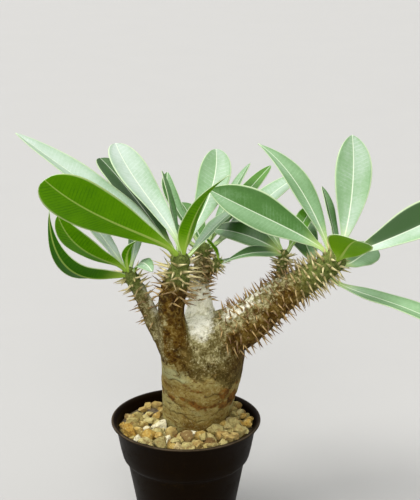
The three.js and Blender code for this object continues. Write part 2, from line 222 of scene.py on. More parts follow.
def turned(outline, steps):
    # a round body, spun from the radii and heights of its outline
    bm = bmesh.new()
    corners = [bm.verts.new((r * mm, 0.0, z * mm)) for r, z in outline]
    edges = [bm.edges.new(pair) for pair in zip(corners, corners[1:])]
    bmesh.ops.spin(
        bm, geom=corners + edges, cent=(0, 0, 0), axis=(0, 0, 1), angle=2 * math.pi,
        steps=steps, use_merge=True, use_duplicate=False,
    )
    bmesh.ops.remove_doubles(bm, verts=bm.verts, dist=1e-6)
    bmesh.ops.recalc_face_normals(bm, faces=bm.faces)
    return bm


def disc(bm, sides):
    # the first face of a shape that grows from its cap
    rim = bmesh.ops.create_circle(bm, cap_ends=True, segments=sides, radius=1.0)["verts"]
    return rim[0].link_faces[0]


def grow(bm, face):
    parts = bmesh.ops.extrude_face_region(bm, geom=[face])["geom"]
    return next(part for part in parts if isinstance(part, bmesh.types.BMFace))


def repeated(single, count, markNames):
    # many copies of one small form, with the copies' marks and the form's corners
    form = bpy.data.meshes.new("form")
    single.to_mesh(form)
    single.free()
    bm = bmesh.new()
    marks = [bm.verts.layers.float.new(name) for name in markNames]
    for _ in range(count):
        bm.from_mesh(form)
    bm.verts.ensure_lookup_table()
    return bm, marks, [vert.co.copy() for vert in form.vertices]


# Camera, floor and light

camera = {
    "place": (0.0169, -0.8248, 0.4667),
    "tilt": 72.8,  # degrees up from straight down
    "lens": 92.0,
}

studio = {
    "floor": (0.345, 0.34, 0.33),
    "floorRadius": 14.0,
    "sky": (0.92, 0.96, 1.0),
    "skyStrength": 0.25,
    "lamps": [
        # where the light comes from, its apparent width in degrees, strength, colour
        ((-0.15, 0.25, 1.0), 90.0, 3.0, (1.0, 1.0, 1.0)),
        ((-0.4, -0.2, 0.9), 30.0, 2.4, (1.0, 0.985, 0.96)),
        ((-0.1, -0.9, 0.42), 40.0, 0.8, (1.0, 0.98, 0.95)),
        ((0.12, -0.78, 0.6), 25.0, 0.7, (1.0, 0.985, 0.96)),
    ],
}


def makeCamera():
    data = bpy.data.cameras.new("camera")
    data.lens = camera["lens"]
    data.sensor_width = 36.0
    data.clip_start = 0.01
    data.clip_end = 50.0
    eye = bpy.data.objects.new("camera", data)
    eye.location = camera["place"]
    eye.rotation_euler = (math.radians(camera["tilt"]), 0.0, 0.0)
    scene.collection.objects.link(eye)
    scene.camera = eye


def makeStudio():
    bm = bmesh.new()
    bmesh.ops.create_circle(bm, cap_ends=True, segments=96, radius=studio["floorRadius"])
    paper = Finish("floorPaper", Roughness=0.75)
    cloud = paper.grain(120, detail=2.0)
    colour = paper.blend(cloud, tuple(0.97 * c for c in studio["floor"]), studio["floor"])
    floor = makeObject("floor", bm, [paper.finish(colour)])
    world = bpy.data.worlds.new("studio")
    world.use_nodes = True
    sky = world.node_tree.nodes["Background"]
    sky.inputs["Color"].default_value = (*studio["sky"], 1.0)
    sky.inputs["Strength"].default_value = studio["skyStrength"]
    scene.world = world
    for i, (source, width, strength, colour) in enumerate(studio["lamps"]):
        data = bpy.data.lights.new(f"lamp{i}", "SUN")
        data.angle = math.radians(width)
        data.energy = strength
        data.color = colour
        lamp = bpy.data.objects.new(f"lamp{i}", data)
        lamp.rotation_mode = "QUATERNION"
        lamp.rotation_quaternion = (-Vector(source)).to_track_quat("-Z", "Y")
        scene.collection.objects.link(lamp)
    scene.view_settings.view_transform = "Standard"


makeCamera()
makeStudio()
print("studio ready")


# Pot

pot = {
    # radius and height of the wall's outside, from the foot up to under the rim
    "outside": [
        (29.2, 0.0), (30.1, 0.1), (30.7, 0.45), (31.1, 1.1), (41.3, 56.4), (41.6, 57.5), (42.4, 58.5),
        (43.6, 59.5), (44.4, 60.6), (44.9, 61.9), (46.4, 68.4), (49.4, 85.2), (49.8, 86.0),
    ],
    "rim": [
        (50.6, 86.25), (51.9, 86.3), (52.35, 86.5), (52.5, 86.95), (52.45, 87.5), (52.1, 87.9),
        (51.5, 88.0), (50.7, 87.95), (50.0, 87.6),
    ],
    "inside": [
        (48.8, 86.4), (48.2, 85.4), (45.1, 68.4), (43.9, 63.0), (43.0, 60.7), (41.5, 59.0),
        (40.2, 57.4), (29.9, 2.2), (29.2, 1.6),
    ],
    "floorTop": 1.6,
    "steps": 128,
    "drainRadius": 2.5,
    "drainRing": 19.0,
    "drainCount": 6,
    "sharpFrom": 50,  # degrees
    "colour": (0.0036, 0.0015, 0.0002),
    "gleam": (1.0, 0.7, 0.42, 1.0),
    "dust": (0.026, 0.015, 0.005),
    "rimWearAndHighlight": (0.07, 0.052, 0.032),
}


def plasticFinish():
    plastic = Finish("potPlastic", IOR=1.3, Specular_IOR_Level=0.12, Specular_Tint=pot["gleam"])
    x, y, z = plastic.split(plastic.place())
    around = plastic.maths("ARCTAN2", y, x)
    out = plastic.maths("SQRT", x * x + y * y)
    cloud = plastic.grain(14, detail=6.0, rough=0.65)
    speck = plastic.grain(1.6, detail=3.0, rough=0.7)
    dusty = plastic.step(cloud, 0.45, 0.72) * plastic.step(speck, 0.42, 0.66)
    # more dust towards the foot and on the step under the rim
    low = plastic.step(z, 0.05, 0.0, 0.0, 0.5)
    ledge = plastic.step(z, 0.052, 0.058) * plastic.step(z, 0.064, 0.059)
    dust = dusty * (0.22 + 0.5 * ledge + low)
    colour = plastic.blend(dust, pot["colour"], pot["dust"])
    runs = plastic.add("TexNoise", {}, {
        "Vector": plastic.add("CombineXYZ", {}, {0: around * 9.0, 1: z * 14.0, 2: 0.0}),
        "Scale": 3.0, "Detail": 5.0, "Roughness": 0.7,
    })
    scratches = plastic.step(runs, 0.62, 0.7) * plastic.step(speck, 0.4, 0.6)
    colour = plastic.blend(scratches * 0.35, colour, pot["dust"])
    # the rim is painted paler along its top: rubbed wear, and a painted highlight on the lip
    wornAndHighlight = plastic.step(z, 0.0868, 0.0879) * plastic.step(out, 0.0506, 0.0524)
    colour = plastic.blend(wornAndHighlight * plastic.step(cloud, 0.35, 0.6, 0.45, 1.0), colour, pot["rimWearAndHighlight"])
    rough = 0.42 + 0.3 * dusty + 0.14 * cloud
    bump = plastic.relief(plastic.grain(0.5, detail=2.0), 0.03, 0.5)
    bump = plastic.relief(runs, 0.06, 0.35, bump)
    return plastic.finish(colour, rough, bump)


def makePot():
    outline = [(0.0, 0.0), *pot["outside"], *pot["rim"], *pot["inside"], (0.0, pot["floorTop"])]
    piece = makeObject("growerPot", turned(outline, pot["steps"]), [plasticFinish()])
    drills = bmesh.new()
    ring, radius = pot["drainRing"] * mm, pot["drainRadius"] * mm
    for i in range(pot["drainCount"]):
        angle = 2 * math.pi * i / pot["drainCount"]
        spot = Matrix.Translation((ring * math.cos(angle), ring * math.sin(angle), 0))
        bmesh.ops.create_cone(
            drills, cap_ends=True, segments=24, radius1=radius, radius2=radius, depth=10 * mm, matrix=spot,
        )
    drill = makeObject("drill", drills, [])
    cut = piece.modifiers.new("drainage", "BOOLEAN")
    cut.operation = "DIFFERENCE"
    cut.solver = "EXACT"
    cut.object = drill
    bake(piece)
    bpy.data.objects.remove(drill)
    piece.data.shade_smooth()
    piece.data.set_sharp_from_angle(angle=math.radians(pot["sharpFrom"]))
    return belongs(piece, "pot", "pot")


makePot()
print("pot ready")


# Wood: stems that pass smoothly through their points

stems = {
    # x, y, z and radius of each point, in millimetres
    "trunk": [
        (5, 9, 40, 7), (5, 9, 55, 15), (5, 9, 70, 21), (6.2, 8, 84, 23.6), (8.3, 8, 101.6, 26.3),
        (10.9, 8, 120.6, 28.6), (11.9, 8, 135.7, 29.6), (12.8, 8.5, 147, 25.4), (14, 10, 155.5, 17.5),
        (14, 11, 160, 8),
    ],
    "front": [
        (1, -1, 122, 16), (-6, -8, 146, 12.4), (-9, -9.5, 163, 9.8), (-9.2, -10, 176, 9),
        (-7.2, -10, 187, 9.2), (-4.8, -10, 195, 8), (-3.5, -10, 203, 6.7),
    ],
    "left": [
        (-5.5, 6, 126, 8), (-13.2, 6, 140, 7.2), (-20.8, 6, 155, 6.2), (-27, 6, 170, 5.5),
        (-32.8, 6, 182, 5.1), (-37.6, 5, 191.4, 4.8),
    ],
    "rear": [
        (11, 22.5, 136, 18), (10.4, 28.8, 150, 13), (9.7, 32.3, 163.5, 8.8), (10.2, 34, 178, 5.8),
        (11, 34, 190, 5.4), (12, 34, 199, 5.3),
    ],
    "rearTwig": [(10.4, 34, 176, 4.4), (15.5, 33, 185, 3.9), (21.6, 32, 191.6, 3.6)],
    "right": [
        (14, 5, 134, 23), (25.6, 3, 148.6, 17.6), (42, 0.6, 158.4, 15), (54.6, 0, 169.6, 13.2),
        (69, 0, 181.8, 11.5), (84, 0, 190.8, 9.5), (98.5, 0, 201.4, 8.1),
    ],
    "rightTwig": [(60, 7, 174, 5.6), (65.2, 11, 188, 3.9), (67.4, 12, 203, 3.5)],
}

# the crowns: the dome that ends each branch, with its spines' start, spacing and length
crowns = {
    "front": dict(centre=(-3.1, -10, 207), radius=6.7, spinesFrom=0.54, spacing=6.6, spine=9.6),
    "left": dict(centre=(-38.5, 5, 193), radius=4.9, spinesFrom=0.42, spacing=6.6, spine=7.0),
    "rear": dict(centre=(12.3, 34, 201), radius=5.6, spinesFrom=0.42, spacing=4.8, spine=6.4),
    "rearTwig": dict(centre=(22.4, 31.8, 192.8), radius=3.8, spinesFrom=0.3, spacing=4.0, spine=5.0),
    "right": dict(centre=(101, 0, 203.2), radius=8.2, spinesFrom=0.2, spacing=5.6, spine=7.6),
    "rightTwig": dict(centre=(67.6, 12, 204.6), radius=3.8, spinesFrom=0.28, spacing=3.8, spine=6.4),
}


def centripetal(points, t):
    place = t * (len(points) - 1)
    i = min(int(place), len(points) - 2)
    weight = place - i
    second, third = points[i], points[i + 1]
    first = points[i - 1] if i > 0 else 2 * second - third
    fourth = points[i + 2] if i + 2 < len(points) else 2 * third - second
    pairs = ((first, second), (second, third), (third, fourth))
    gap0, gap1, gap2 = [max(1e-4, (b - a).length_squared) ** 0.25 for a, b in pairs]
    leave = ((second - first) / gap0 - (third - first) / (gap0 + gap1) + (third - second) / gap1) * gap1
    arrive = ((third - second) / gap1 - (fourth - second) / (gap1 + gap2) + (fourth - third) / gap2) * gap1
    square = 3 * (third - second) - 2 * leave - arrive
    cube = 2 * (second - third) + leave + arrive
    return second + leave * weight + square * weight ** 2 + cube * weight ** 3


class Stem:
    def __init__(self, points):
        self.points = [Vector(point[:3]) for point in points]
        self.radii = [Vector((point[3], 0, 0)) for point in points]
        samples = [self.centre(i / 100) for i in range(101)]
        self.length = sum((b - a).length for a, b in zip(samples, samples[1:]))

    def centre(self, t):
        return centripetal(self.points, t)

    def radius(self, t):
        return centripetal(self.radii, t).x

    def frame(self, t):
        along = (self.centre(min(1.0, t + 0.001)) - self.centre(max(0.0, t - 0.001))).normalized()
        across = Vector((0, 1, 0)).cross(along).normalized()
        return self.centre(t), self.radius(t), along, across, along.cross(across)

    def surface(self, travelled, angle):
        # a point on the bark, or on the crown's dome past the stem's end
        centre, radius, along, across, away = self.frame(min(1.0, travelled / self.length))
        climb = max(0.0, travelled - self.length) / radius
        out = across * math.cos(angle) + away * math.sin(angle)
        out = out * math.cos(climb) + along * math.sin(climb)
        return centre + out * radius, out, along, radius

    def holds(self, point, share=0.97):
        places = [i / 24 for i in range(25)]
        return any((self.centre(t) - point).length < self.radius(t) * share for t in places)

    def ring(self, t):
        centre, radius, along, across, away = self.frame(t)
        turn = Matrix((across * radius * mm, away * radius * mm, along * mm)).transposed().to_4x4()
        return Matrix.Translation(centre * mm) @ turn


woodStems = {name: Stem(points) for name, points in stems.items()}

wood = {
    "sides": 40,
    "rings": 46,
    "voxel": 0.75,
    "probes": 48,  # steps up a stem when a point looks for the nearest
    "forkReach": 7.0,
    "forkFrom": 0.15,
    "forkLowest": 100,
    "rounding": 26,
    "smoothing": 2,
    "blendSoft": 1.6,
    "blendReach": 5,
    "inset": 0.15,
    "lumps": 0.55,
    "sheetStep": 0.16,
    "crackDepth": 0.55,
    "pitsFrom": 126,
    "pitDepth": 1.5,
    "knobRadius": 1.5,
    "knobHeight": 0.75,
    "axis": (9.0, 8.0),
    # the old skin at the foot has peeled in broad sheets: its ragged upper edge, higher to the left,
    # then each sheet's upper edge, how pale it is, how rusty under that edge, and how deep the rust
    "footReach": 140,
    "footTop": 124.5,
    "footRise": 8.0,
    "footLean": 0.3,
    "firstTone": 0.82,
    "sheets": [
        (118.0, 0.42, 0.75, 1.6), (108.5, 0.56, 1.0, 2.8), (101.0, 0.5, 0.45, 1.6), (95.0, 0.4, 0.35, 1.4),
    ],
    "longCrack": 102.5,
}

spines = {
    "root": 0.88,
    "sunk": 1.0,
    "pairGap": 1.5,
    "missing": 0.1,
    "spread": 32.0,
    "lean": 0.7,
    "sag": 0.45,
    "climb": 0.75,
    # what a spine has at least, what chance adds, and what youth adds
    "widths": (0.75, 0.3, 0.4),
    "lengths": (0.62, 0.5, 0.3),
    "sides": 5,
    # share of the length, and of the root's width there
    "taper": [(0.22, 0.8), (0.5, 0.52), (0.78, 0.26), (1.0, 0.03)],
    "seed": 3,
}


def loftStem(bm, stem):
    face = disc(bm, wood["sides"])
    last = stem.ring(0.0)
    bmesh.ops.transform(bm, matrix=last, verts=face.verts)
    for i in range(1, wood["rings"] + 1):
        face = grow(bm, face)
        following = stem.ring(i / wood["rings"])
        bmesh.ops.transform(bm, matrix=following @ last.inverted(), verts=face.verts)
        last = following


def spineSeats():
    # spines stand in pairs on a spiral up each branch
    golden = math.radians(137.5)
    seats = []
    for name, crown in crowns.items():
        stem = woodStems[name]
        others = [other for key, other in woodStems.items() if key != name]
        travelled = crown["spinesFrom"] * stem.length
        turn = 0.0
        while travelled < stem.length + spines["climb"] * crown["radius"]:
            point, out, along, radius = stem.surface(travelled, turn)
            if not any(other.holds(point) for other in others):
                youth = fade(travelled / stem.length, 0.62, 0.98) * (0.4 if name == "rear" else 1.0)
                seats.append((name, point, out, along, youth))
            travelled += crown["spacing"] ** 2 / (2 * math.pi * radius)
            turn += golden
    return seats


seats = spineSeats()
print("spine seats", len(seats))

barkMarks = ("base", "layer", "rust", "youth", "hollow", "knob", "silver", "ochre")

barkTones = {
    "brown": [(0.3, (0.026, 0.016, 0.003)), (0.48, (0.075, 0.053, 0.011)), (0.7, (0.16, 0.122, 0.038))],
    "tan": [
        (0.32, (0.026, 0.01, 0.001)), (0.45, (0.078, 0.036, 0.003)), (0.57, (0.135, 0.08, 0.012)),
        (0.7, (0.26, 0.19, 0.06)),
    ],
    "silver": [(0.36, (0.115, 0.092, 0.028)), (0.5, (0.22, 0.19, 0.075)), (0.64, (0.43, 0.39, 0.205))],
    "foot": [
        (0.2, (0.14, 0.085, 0.016)), (0.42, (0.25, 0.175, 0.045)), (0.65, (0.31, 0.255, 0.085)),
        (1.0, (0.35, 0.34, 0.16)),
    ],
    # pairs go from one colour to another, and the last three are single colours
    "white": ((0.7, 0.67, 0.49), (0.95, 0.93, 0.79)),
    "rust": ((0.2, 0.085, 0.014), (0.085, 0.032, 0.006)),
    "green": ((0.038, 0.056, 0.008), (0.15, 0.185, 0.045)),
    "seam": (0.1, 0.038, 0.006),
    "knob": (0.27, 0.27, 0.1),
    "dirtAndShade": (0.03, 0.014, 0.004),
}


def barkFinish():
    bark = Finish("bark", IOR=1.42, Specular_IOR_Level=0.06)
    base, layer, rust, youth, hollow, knob, silver, ochre = [bark.mark(name) for name in barkMarks]

    patch = bark.grain(6.5, detail=8.0, rough=0.68, twist=0.5)
    fleck = bark.grain(1.5, detail=5.0, rough=0.74)
    band = bark.grain(12, detail=6.0, rough=0.56, stretch=(0.5, 0.5, 1.5), twist=0.7)
    fine = bark.grain(0.5, detail=3.0, rough=0.6)
    smear = bark.grain(4.2, detail=6.0, rough=0.6, shift=(0.01, 0.06, 0.03), twist=0.5)
    spot = bark.grain(3.0, rough=0.6, shift=(0.05, 0.02, 0.07))
    seam = bark.grain(
        13, detail=5.0, rough=0.62, stretch=(0.5, 0.5, 1.7), shift=(0.02, 0.07, 0.01), twist=0.6,
    )
    seam = bark.maths("ABSOLUTE", seam - 0.5)

    # the middle of the trunk: olive-brown, granular, with pale freckles and dark grains
    colour = bark.dabs(bark.tint(patch, barkTones["brown"]), [
        (fleck, 0.54, 0.64, 0.7, (0.3, 0.22, 0.08)),
        (smear, 0.56, 0.66, 0.6, (0.24, 0.16, 0.045)),
        (fleck, 0.46, 0.36, 0.7, (0.026, 0.016, 0.005)),
    ])

    # rust-orange bark on the front branch and wherever the pale skin has gone, and on the trunk's right edge
    # as painted shade
    tan = bark.dabs(bark.tint(patch + 0.8 * (smear - 0.5), barkTones["tan"]), [
        (smear, 0.42, 0.34, 0.85, (0.03, 0.011, 0.002)),
        (fleck, 0.55, 0.66, 0.55, (0.34, 0.23, 0.08)),
        (fleck, 0.43, 0.33, 0.7, (0.025, 0.01, 0.002)),
    ])
    colour = bark.blend(ochre, colour, tan)

    # silvery skin, mottled green-grey, and smooth and white in the fork; it is laid on more where the light
    # falls, so it is partly painted light
    skin = bark.dabs(bark.tint(smear + 0.6 * (fleck - 0.5), barkTones["silver"]), [
        (spot, 0.59, 0.65, 0.6, (0.08, 0.06, 0.02)),
        # pale specks: painted glints on the silvery skin
        (fleck, 0.58, 0.66, 0.6, (0.68, 0.63, 0.41)),
        (fleck, 0.42, 0.34, 0.6, (0.07, 0.06, 0.025)),
    ])
    white = bark.blend(bark.step(patch, 0.35, 0.6), *barkTones["white"])
    whiteness = bark.step(silver + 0.6 * (patch - 0.5) + 0.8 * (fleck - 0.5), 0.78, 1.3)
    skin = bark.blend(whiteness, skin, white)
    veil = bark.step(silver + 0.7 * (patch - 0.5) + 1.3 * (fleck - 0.5), 0.2, 0.75)
    colour = bark.blend(veil, colour, skin)

    # the foot: peeled sheets, from pale green-grey to tan, broken by rusty seams and stains
    foot = bark.dabs(bark.tint(layer + 1.5 * (band - 0.5) + 0.4 * (smear - 0.5), barkTones["foot"]), [
        (fleck, 0.5, 0.66, 0.42, (0.48, 0.43, 0.22)),
        (fleck, 0.46, 0.34, 0.55, (0.1, 0.06, 0.012)),
    ])
    seams = bark.step(seam, 0.02, 0.003) * bark.step(spot, 0.42, 0.54)
    foot = bark.blend(seams * 0.9, foot, barkTones["seam"])
    stain = bark.step(rust * (0.75 + 2.6 * (smear - 0.5)) + 0.5 * (fleck - 0.5), 0.2, 0.6, 0.0, 0.9)
    foot = bark.blend(stain, foot, bark.blend(bark.step(spot, 0.4, 0.6), *barkTones["rust"]))
    shows = bark.step(base + 1.7 * (patch - 0.5) + 0.8 * (fleck - 0.5), 0.3, 0.7)
    colour = bark.blend(shows, colour, foot)

    # green-grey growth below the leaves
    green = bark.blend(bark.step(fleck, 0.34, 0.6), *barkTones["green"])
    colour = bark.blend(youth, colour, green)
    colour = bark.blend(knob * (0.12 + 0.45 * youth), colour, barkTones["knob"])

    # cracks and pits hold dirt; the trunk's right under the right branch and the right branch's underside
    # are darkened the same way as painted shade
    colour = bark.blend(hollow * 0.85, colour, barkTones["dirtAndShade"])
    colour = bark.dabs(colour, [(fine, 0.4, 0.28, 0.55, (0.04, 0.024, 0.009))])
    rough = bark.step(fleck, 0.3, 0.7, 0.6, 0.88) - 0.12 * youth
    bump = bark.relief(band * base, 0.9, 0.6)
    bump = bark.relief(fleck, 0.6, 0.8, bump)
    bump = bark.relief(fine, 0.15, 0.7, bump)
    return bark.finish(colour, rough, bump)


def footSkin(place):
    # how much of the peeled skin shows here, then its tone, rust, cracks and level
    turn = math.atan2(place.y - wood["axis"][1], place.x - wood["axis"][0])
    edge = wood["footTop"] + wood["footRise"] * max(0.0, math.cos(turn + 2.8)) ** 2
    edge += 5.5 * swell(place, 0.1, (0, 5, 0)) + 3.0 * swell(place, 0.34)
    edge -= 8.0 * fade(place.x, 20, 34)
    base = fade(place.z, edge + 4.0, edge - 3.0)
    height = place.z + wood["footLean"] * (min(26.0, max(-6.0, place.x)) - 5)
    height += 5.5 * swell(place, 0.06, (11, 0, 0)) + 2.6 * swell(place, 0.21)
    # the first sheet is darker towards the right: painted shade away from the light on the left
    tone, level, rust = wood["firstTone"] - 0.36 * fade(place.x, -4, 10), 0.0, 0.0
    crack = 0.6 * ridge(place.z - edge, 0.5)
    before = tone
    for top, paleness, stain, depth in wood["sheets"]:
        passed = fade(height, top + 1.2, top - 1.2)
        tone += (paleness - before) * passed
        level += passed
        before = paleness
        split = fade(swell(place, 0.09, (top, 0, 0)), -0.1, 0.25)
        crack = max(crack, split * ridge(height - top, 0.45))
        gathered = fade(swell(place, 0.1, (0, top, 0)), -0.3, 0.25)
        rust = max(rust, stain * gathered * ridge(height - top + 0.4 * depth, depth))
    patches = fade(swell(place, 0.12, (3, 0, 8)), -0.12, 0.25)
    rust = max(rust, 0.95 * patches * fade(place.x, 4, 20) * fade(place.z, 95, 103))
    # one long crack runs down to the right across the left of the foot, with greyer skin under it
    off = place.z - wood["longCrack"] - 0.65 * (-4.0 - place.x) + 1.2 * swell(place, 0.3)
    left = fade(place.x, -1.0, -5.0) * fade(place.y, 14, 4)
    crack = max(crack, left * ridge(off, 0.55))
    tone += 0.25 * left * fade(off, 0.5, -0.5)
    return base, tone, rust * base, crack * fade(place.z, 136, 130), level * base


def limbSkin(name, t, place, normal):
    # how silvery a stem's bark is here (partly painted light on the sides that face up or towards the
    # light), how rusty (on the trunk's right edge partly painted shade), how young, and how dark its
    # blotches (on the trunk's right and under the right branch, painted shade)
    drift = 4.0 * swell(place, 0.09) + 2.0 * swell(place, 0.27)
    ripple = 0.5 * swell(place, 0.13) + 0.3 * swell(place, 0.4)
    skyward = normal.z
    if name == "trunk":
        silver = 0.52 * fade(place.z + drift, 119, 142)
        # the fork is painted white, partly as painted light where the saddle faces up
        silver += 0.7 * fade(place.z + 0.5 * drift, 147, 157) * fade(place.x - 0.6 * drift, 25, 13)
        silver *= fade(place.x + 1.4 * drift + 9.0 * fade(place.z, 143, 154), -3, 9)
        # painted shade: less silver towards the trunk's right side
        silver *= fade(place.x - drift, 40, 27)
        # the left edge is rust-orange; the right edge is painted darker as painted shade
        edges = max(fade(place.x + drift, -2, -11), 0.8 * fade(place.x + drift, 27, 36))
        # painted shade on the trunk's right, under the right branch
        blotchAndShade = 0.4 * fade(place.x + drift, 24, 36) * fade(place.z, 116, 128)
        return silver, 0.75 * edges * fade(place.z, 122, 132), 0.0, blotchAndShade
    youth = fade(t + 0.05 * ripple, *((0.86, 1.0) if name == "rear" else (0.66, 0.9)))
    if name == "front":
        silver = 0.7 * fade(place.x - 0.018 * place.z + drift, 1, 6) * fade(t, 0.7, 0.3)
        # painted light on the front branch's left-facing side
        silver = max(silver, 0.5 * fade(-normal.x + ripple, 0.3, 0.9) * fade(t, 0.75, 0.4))
        streaks = fade(swell(place, 0.16, (7, 0, 0)), 0.05, 0.35)
        silver = max(silver, 0.3 * streaks * fade(t, 0.42, 0.3))
        blotchAndShade = fade(swell(place, 0.24) + 0.6 * swell(place, 0.6), -0.02, 0.2)
        blotchAndShade *= 0.85 * fade(t, 0.36, 0.46) * fade(t, 0.78, 0.7)
        return silver, 1.0 - silver, fade(t + 0.06 * ripple, 0.68, 0.82), blotchAndShade
    if name == "left":
        # painted light: the left branch is paler on its right side and its top
        silver = (0.66 + 0.25 * normal.x + 0.25 * skyward + 0.4 * ripple) * fade(place.z, 134, 146)
        return silver, 0.35, youth, 0.0
    if name == "rear":
        # painted light: the rear branch's foot is whiter on its side facing the front
        silver = 0.6 + fade(t, 0.75, 0.45) * fade(normal.y, 0.6, -0.1) + 0.3 * ripple
        return silver, 0.5, youth, 0.0
    if name == "rearTwig":
        return 0.35, 0.8, fade(t, 0.5, 0.9), 0.0
    if name == "right":
        # painted highlight: the right branch is silver on its top, facing up
        silver = fade(skyward + 0.7 * ripple - 0.1 * normal.y, 0.0, 0.85)
        silver *= 0.85 + 0.35 * fade(t, 0.35, 0.1) - 0.35 * fade(t, 0.4, 0.85)
        silver += 0.6 * fade(skyward + 0.5 * ripple, 0.5, 0.9) * fade(t, 0.18, 0.34) * fade(t, 0.75, 0.6)
        # painted shade on the right branch's underside
        blotchAndShade = 0.6 * fade(-skyward, 0.2, 0.8) * fade(swell(place, 0.35), 0.0, 0.35)
        return silver, 0.9, youth, blotchAndShade
    return 0.6, 0.5, fade(t, 0.45, 0.85), 0.0


def stemsAround(places):
    # how near each point is to each stem's skin, and how far up that stem
    depth = np.full((len(woodStems), len(places)), 1e9)
    far = np.zeros(depth.shape)
    for k, stem in enumerate(woodStems.values()):
        for i in range(wood["probes"] + 1):
            t = i / wood["probes"]
            gap = np.linalg.norm(places - np.array(stem.centre(t)), axis=1) - stem.radius(t)
            closer = gap < depth[k]
            depth[k][closer] = gap[closer]
            far[k][closer] = t
    return depth, far


def makeWood():
    bm = bmesh.new()
    for stem in woodStems.values():
        loftStem(bm, stem)
    for crown in crowns.values():
        spot = Matrix.Translation(Vector(crown["centre"]) * mm)
        bmesh.ops.create_uvsphere(bm, u_segments=32, v_segments=20, radius=crown["radius"] * mm, matrix=spot)
    bmesh.ops.recalc_face_normals(bm, faces=bm.faces)
    piece = makeObject("caudexWood", bm, [])
    fuse = piece.modifiers.new("fuse", "REMESH")
    fuse.mode = "VOXEL"
    fuse.voxel_size = wood["voxel"] * mm
    bake(piece)

    # the forks are rounded where two stems meet
    bm = bmesh.new()
    bm.from_mesh(piece.data)
    bm.verts.ensure_lookup_table()
    places = np.array([v.co for v in bm.verts]) / mm
    depth, far = stemsAround(places)
    order = np.sort(depth, axis=0)
    meeting = np.clip(1.0 - (order[1] - order[0]) / wood["forkReach"], 0.0, 1.0)
    atFork = (meeting > wood["forkFrom"]) & (places[:, 2] > wood["forkLowest"])
    forks = [v for v, meets in zip(bm.verts, atFork) if meets]
    axes = dict(use_axis_x=True, use_axis_y=True, use_axis_z=True)
    for verts, times in ((forks, wood["rounding"]), (bm.verts, wood["smoothing"])):
        for _ in range(times):
            bmesh.ops.smooth_vert(bm, verts=verts, factor=0.5, **axes)
    bm.normal_update()

    knobs = KDTree(len(seats))
    for i, seat in enumerate(seats):
        knobs.insert(seat[1], i)
    knobs.balance()

    rows, moves = [], []
    names = list(woodStems)
    for i, vert in enumerate(bm.verts):
        place = vert.co / mm
        # the bark takes its looks from the stems around, the nearest most
        gaps = depth[:, i] - depth[:, i].min()
        near = [(k, gap) for k, gap in enumerate(gaps) if gap < wood["blendReach"]]
        shares = {k: math.exp(-gap / wood["blendSoft"]) for k, gap in near}
        whole = sum(shares.values())
        skin = np.zeros(4)
        for k, share in shares.items():
            skin += np.array(limbSkin(names[k], far[k][i], place, vert.normal)) * share / whole
        silver, ochre, youth, blotchAndShade = skin.tolist()
        bulge = ridge(knobs.find(place)[2], wood["knobRadius"])
        size = wood["knobHeight"] * (0.5 + 0.9 * youth)
        lumps = wood["lumps"] * swell(place, 0.11) + 0.5 * wood["lumps"] * swell(place, 0.31)
        base, layer, rust, crack, level, pits = 0.0, 0.0, 0.0, 0.0, 0.0, 0.0
        if place.z < wood["footReach"]:
            base, layer, rust, crack, level = footSkin(place)
        if place.z > wood["pitsFrom"]:
            pits = max(0.0, swell(place, 0.55) - 0.4) * wood["pitDepth"] * (1 - youth)
            pits *= fade(place.z, wood["pitsFrom"], wood["pitsFrom"] + 8)
        move = lumps + bulge * size - wood["crackDepth"] * crack - wood["sheetStep"] * level - pits
        moves.append(move - wood["inset"])
        # the dark mark: cracks and pits, plus painted shade from the blotches
        hollow = min(1.0, 0.85 * crack + 1.3 * pits + blotchAndShade)
        rows.append((base, layer, rust, youth, hollow, bulge, silver, ochre))
    for vert, move in zip(bm.verts, moves):
        vert.co += vert.normal * move * mm
    bm.to_mesh(piece.data)
    bm.free()
    for name, values in zip(barkMarks, zip(*rows)):
        writeMark(piece, name, values)
    piece.data.materials.append(barkFinish())
    piece.data.shade_smooth()
    return belongs(piece, "caudex", "caudex")


makeWood()
print("wood ready")


# Spines

def spineFinish():
    horn = Finish("spineHorn", IOR=1.5)
    youth, tip, shade = horn.mark("youth"), horn.mark("tip"), horn.mark("shade")
    old = horn.blend(horn.step(shade, 0.15, 0.8), (0.13, 0.055, 0.016), (0.44, 0.28, 0.1))
    old = horn.dabs(old, [(tip, 0.6, 0.0, 0.65, (0.56, 0.43, 0.19))])
    fresh = horn.blend(shade, (0.42, 0.36, 0.14), (0.74, 0.66, 0.36))
    streak = horn.grain(0.8, detail=3.0)
    colour = horn.dabs(horn.blend(youth, old, fresh), [
        (tip, 0.6, 1.0, 0.5, (0.2, 0.09, 0.04)),
        (streak, 0.5, 0.7, 0.25, (0.42, 0.33, 0.16)),
    ])
    return horn.finish(colour, 0.42 + 0.2 * streak)


def spineForm():
    # one straight spine, one high and one in radius at its root, to be copied
    bm = bmesh.new()
    face = disc(bm, spines["sides"])
    before, wide = 0.0, 1.0
    for share, width in spines["taper"]:
        face = grow(bm, face)
        bmesh.ops.translate(bm, vec=(0, 0, share - before), verts=face.verts)
        bmesh.ops.scale(bm, vec=(width / wide, width / wide, 1.0), verts=face.verts)
        before, wide = share, width
    bmesh.ops.recalc_face_normals(bm, faces=bm.faces)
    return bm


